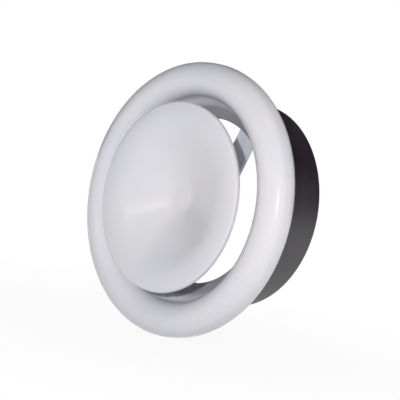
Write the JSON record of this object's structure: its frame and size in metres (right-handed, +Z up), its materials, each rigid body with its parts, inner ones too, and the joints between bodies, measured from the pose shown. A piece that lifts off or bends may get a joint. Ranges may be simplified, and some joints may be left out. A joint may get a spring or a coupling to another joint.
{
  "type": "air outlet vent",
  "caption": "Round white disc-valve air vent for a duct: a rolled rim, a dished disc that screws in and out to set the gap, and a dark collar behind.",
  "frame": {"origin": "on the vent's axis at the wall plane, where the back of the rim and the collar's flange lie on the wall", "axes": "+Y along the axis into the duct, so the face looks along -Y into the room; +Z up"},
  "size_m": [0.164, 0.0648, 0.164],
  "materials": {
    "white_enamel": "smooth white stove enamel with a soft gloss",
    "dark_steel": "dark charcoal satin coat on steel sheet",
    "seal_foam": "fine-celled dark grey foam",
    "zinc_plate": "bluish zinc-plated steel",
    "spring_steel": "grey spring steel strip"
  },
  "bodies": {
    "rim_body": {"rim": "white_enamel", "foam_seal": "seal_foam", "collar": "dark_steel", "bridge": "zinc_plate", "bridge_bush": "zinc_plate", "lock_nut": "zinc_plate", "spring_clip_1": "spring_steel", "spring_clip_2": "spring_steel", "clip_rivets": "zinc_plate"},
    "turning_washer": {"washer": "zinc_plate"},
    "disc_body": {"disc": "white_enamel", "disc_boss": "zinc_plate", "spindle": "zinc_plate", "stop_ring": "spring_steel"}
  },
  "joints": [
    {"name": "disc_turn", "type": "hinge", "parent": "rim_body", "child": "turning_washer", "pos_m": [0, 0, 0], "axis": [0, 1, 0], "range_deg": [0, 7560]},
    {"name": "disc_travel", "type": "slide", "parent": "turning_washer", "child": "disc_body", "axis": [0, 1, 0], "range_m": [0, 0.021]}
  ],
  "couplings": [
    {"joint": "disc_travel", "follows": "disc_turn", "m_per_rad": 0.00015915}
  ]
}
